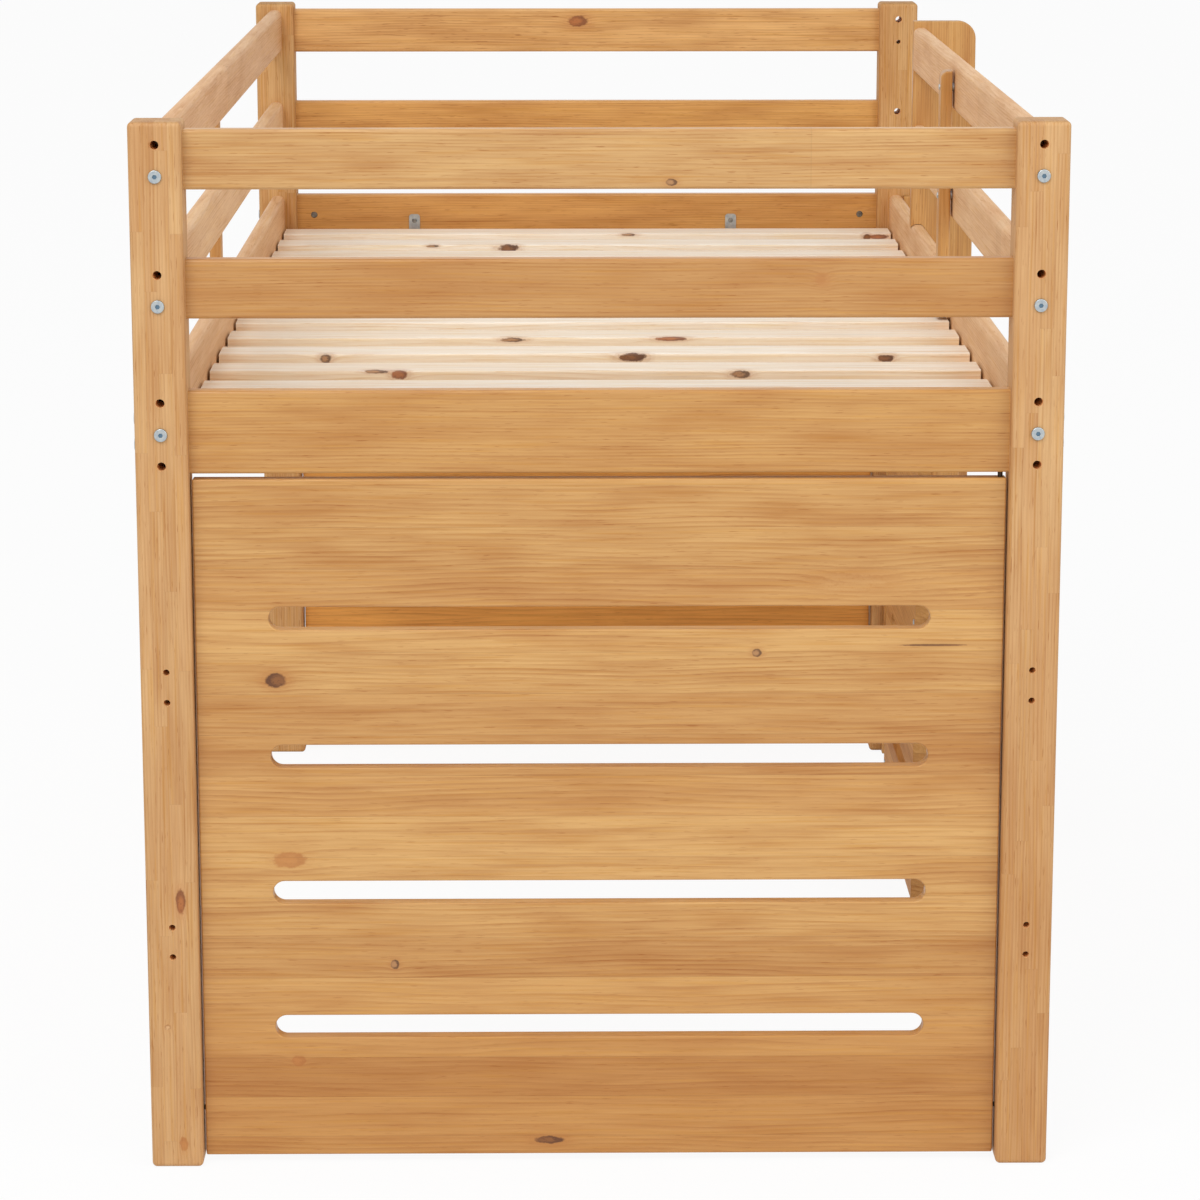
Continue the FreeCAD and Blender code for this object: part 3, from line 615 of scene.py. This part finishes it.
# Knots break out on the front edges: kind, place across the bed, half width, half height, rise above mid-edge
slatKnots = {
    "slat_02": [("dark", -60, 10, 6, 0)],
    "slat_04": [("red", -253, 10, 6, 4), ("ring", 187, 12, 5, 4), ("ring", -284, 14, 2, 8)],
    "slat_05": [("ring", -357, 8, 6, 3), ("dark", 50, 17, 6, 4), ("dark", 387, 10, 5, 2)],
    "slat_06": [("ring", -110, 15, 3, 6), ("red", 105, 20, 3, 7)],
    "slat_08": [("dark", 262, 10, 6, 0)],
    "slat_10": [("ring", 120, 9, 5, 0)],
    "slat_13": [("dark", -128, 15, 7, 3), ("ring", -250, 9, 2, 7)],
    "slat_14": [("dark", 459, 6, 5, 3), ("red", 480, 15, 4, 3), ("ring", 68, 12, 2, 7)],
}
for number in range(1, slatCount + 1):
    name = f"slat_{number:02d}"
    low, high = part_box(name)
    front, level = low.y * millimetres, (low.z + high.z) / 2 * millimetres
    knots = []
    for kind, x, run, rise, lift in slatKnots.get(name, []):
        at, size = (middle + x, front, level + lift), (run, slatKnotDepth, rise)
        knots.append({"kind": kind, "at": at, "size": size, "wobble": slatKnotWobble})
    look = paintedLightBackSlatLook if number >= firstBackSlat else slatLook
    dressWood([name], {**look, "knots": knots}, seed=slatSeed + number)
print("slats dressed")

# Dowels: plain hardwood, fine grained
dowelLook = {
    **honeyPine,
    "axes": "xzy",
    "pale": (216, 182, 140),
    "late": (184, 142, 96),
    "blush": (208, 170, 126),
    "heart": (196, 152, 106),
    "ringPitch": 1.4,
    "coat": 0.0,
    "roughness": 0.6,
    "patch": 0.3,
}
dressWood(["end_rail_dowels"], dowelLook, seed=91)
dressWood(["leg_dowels"], {**dowelLook, "axes": "zxy"}, seed=92)

metalShape = {
    "cloudScale": 0.22,
    "cloudDetail": 3.0,
    "cloud": (-0.2, 0.2),
    "cloudRough": 0.2,
    "scratchScale": 0.5,
    "scratchClose": 6.0,  # scale up and down, across the scratches
    "scratchDetail": 2.0,
    "scratchTone": 0.2,
    "scratchRough": 0.12,
    "sunk": (0.3, 1.3),  # millimetres below the crown
    "bump": 0.08,
    "bumpDepth": 0.0002,
}


# Plated steel: cloudy tone with fine scratches; a head is painted dark in its socket and on its rim, below
# its crown, as painted shade
def metalMaterial(name, look, head=None):
    material, start = newMaterial(name)
    place = start.node("TexCoord", None, None, "Object")
    split = start.node("SeparateXYZ", None, {0: place})
    x, y, z = (split.out(letter) * millimetres for letter in ("X", "Y", "Z"))
    scale = metalShape["cloudScale"]
    cloud = start.noise(x * scale, y * scale, z * scale, metalShape["cloudDetail"])
    scale, close = metalShape["scratchScale"], metalShape["scratchClose"]
    scratch = start.noise(x * scale, y * scale, z * close, metalShape["scratchDetail"])
    tone = start.mix(cloud.rise(*metalShape["cloud"]), linear(look["base"]), linear(look["tint"]))
    if head:
        low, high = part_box(head[0])
        least, most = {"x": (low.x, high.x), "y": (low.y, high.y)}[head[1]]
        place = {"x": x, "y": y}[head[1]]
        sunk = (most - least) / 2 * millimetres - abs(place - (least + most) / 2 * millimetres)
        tone = start.mix(sunk.rise(*metalShape["sunk"]), tone, linear(look["socketShade"]))
    colour = start.scaled(tone, 1.0 + scratch * metalShape["scratchTone"])
    rough = look["roughness"] + cloud * metalShape["cloudRough"] + scratch * metalShape["scratchRough"]
    bump = start.node("Bump", None, {
        "Strength": metalShape["bump"], "Distance": metalShape["bumpDepth"], "Height": scratch + cloud})
    shader = start.node("BsdfPrincipled", None, {
        "Base Color": colour, "Metallic": look["metallic"], "Roughness": rough, "Normal": bump})
    closeMaterial(start, shader)
    return material


zincLook = {
    "base": (172, 182, 190),
    "tint": (196, 200, 198),
    # The colour of the painted shade in a head's socket and on its rim
    "socketShade": (104, 130, 150),
    "metallic": 0.85,
    "roughness": 0.38,
}
darkLook = {"base": (58, 52, 46), "tint": (76, 66, 56), "metallic": 0.8, "roughness": 0.5}
nutLook = {"base": (112, 112, 110), "tint": (158, 158, 152), "metallic": 0.85, "roughness": 0.42}
for name, axis in (("side_rail_bolts", "y"), ("end_rail_bolts", "x"), ("upright_bolts", "y")):
    wear(name, metalMaterial(name + "_zinc", zincLook, (name, axis)))
zinc = metalMaterial("zincPlate", zincLook)
nutSteel = metalMaterial("nutSteel", nutLook)
darkSteel = metalMaterial("darkPin", darkLook)
zincPieces = [
    "slat_brackets", "ledger_screws", "panel_screws", "batten_screws", "batten_washers", "ladder_screws"]
for name in zincPieces:
    wear(name, zinc)
for name in ("side_rail_barrel_nuts", "end_rail_barrel_nuts", "upright_barrel_nuts", "bracket_screws"):
    wear(name, nutSteel)
wear("panel_pins", darkSteel)
print("fittings dressed")

# Floor: pale, white to the camera and in reflections, with the bed's shadow kept faint
studio = {
    "floorReach": 60.0,
    "floorColour": (242, 242, 242),
    "floorGlow": 0.92,
    "ambient": 0.64,
    "keyPower": 182.0,
    "keyPlace": (-2.2, -4.6, 5.8),
    "keySize": 3.2,
    "fillPower": 55.0,
    "fillPlace": (3.4, -3.6, 3.2),
    "fillSize": 3.0,
    "target": (0.0, 0.0, 0.7),
    "white": (1.0, 1.0, 1.0, 1.0),
}


# 1 for rays that come from the camera, a gloss reflection or glass
def seenShare(start):
    path = start.node("LightPath", None, None, "Is Camera Ray")
    return path.larger(path.out("Is Glossy Ray")).larger(path.out("Is Transmission Ray"))


reach = studio["floorReach"]
corners = np.array([[-reach, -reach, 0], [reach, -reach, 0], [reach, reach, 0], [-reach, reach, 0]])
floorMesh = bpy.data.meshes.new("studioFloor")
floorMesh.from_pydata(corners.tolist(), [], [[0, 1, 2, 3]])
floor = bpy.data.objects.new("studioFloor", floorMesh)
bpy.context.scene.collection.objects.link(floor)
floorMaterial, start = newMaterial("studioFloor")
matt = start.node("BsdfDiffuse", None, {"Color": linear(studio["floorColour"])})
glow = start.node("Emission", None, {"Color": studio["white"], "Strength": 1.0})
glowShare = seenShare(start) * studio["floorGlow"]
closeMaterial(start, start.node("MixShader", None, {0: glowShare, 1: matt, 2: glow}))
floorMesh.materials.append(floorMaterial)

world = bpy.data.worlds.new("studioWorld")
bpy.context.scene.world = world
world.use_nodes = True
world.node_tree.nodes.clear()
start = Wire(world.node_tree)
light = start.node("Background", None, {"Color": studio["white"], "Strength": studio["ambient"]})
white = start.node("Background", None, {"Color": studio["white"], "Strength": 1.0})
sky = start.node("MixShader", None, {0: seenShare(start), 1: light, 2: white})
start.node("OutputWorld", None, {"Surface": sky})


def aim(thing, place, target):
    way = np.array(target) - np.array(place)
    flat = math.hypot(way[0], way[1])
    thing.location = place
    thing.rotation_euler = (math.pi / 2 + math.atan2(way[2], flat), 0, math.atan2(-way[0], way[1]))


for lamp in ("key", "fill"):
    data = bpy.data.lights.new(lamp + "Lamp", "AREA")
    data.energy = studio[lamp + "Power"]
    data.size = studio[lamp + "Size"]
    soft = bpy.data.objects.new(lamp + "Lamp", data)
    bpy.context.scene.collection.objects.link(soft)
    aim(soft, studio[lamp + "Place"], studio["target"])
print("studio set")

view = {
    "place": (-0.074, -5.432, 1.714),
    "pitch": 11.734,  # degrees below level
    "yaw": 0.626,
    "lens": 115.623,
    "sensor": 36.0,
    "shift": -0.06,
    "reach": 300.0,
}
cameraData = bpy.data.cameras.new("photoCamera")
cameraData.sensor_width = view["sensor"]
cameraData.lens = view["lens"]
cameraData.shift_y = view["shift"]
cameraData.clip_end = view["reach"]
camera = bpy.data.objects.new("photoCamera", cameraData)
bpy.context.scene.collection.objects.link(camera)
camera.location = view["place"]
camera.rotation_euler = (math.radians(90 - view["pitch"]), 0, math.radians(-view["yaw"]))
bpy.context.scene.camera = camera
bpy.context.scene.view_settings.view_transform = "Standard"
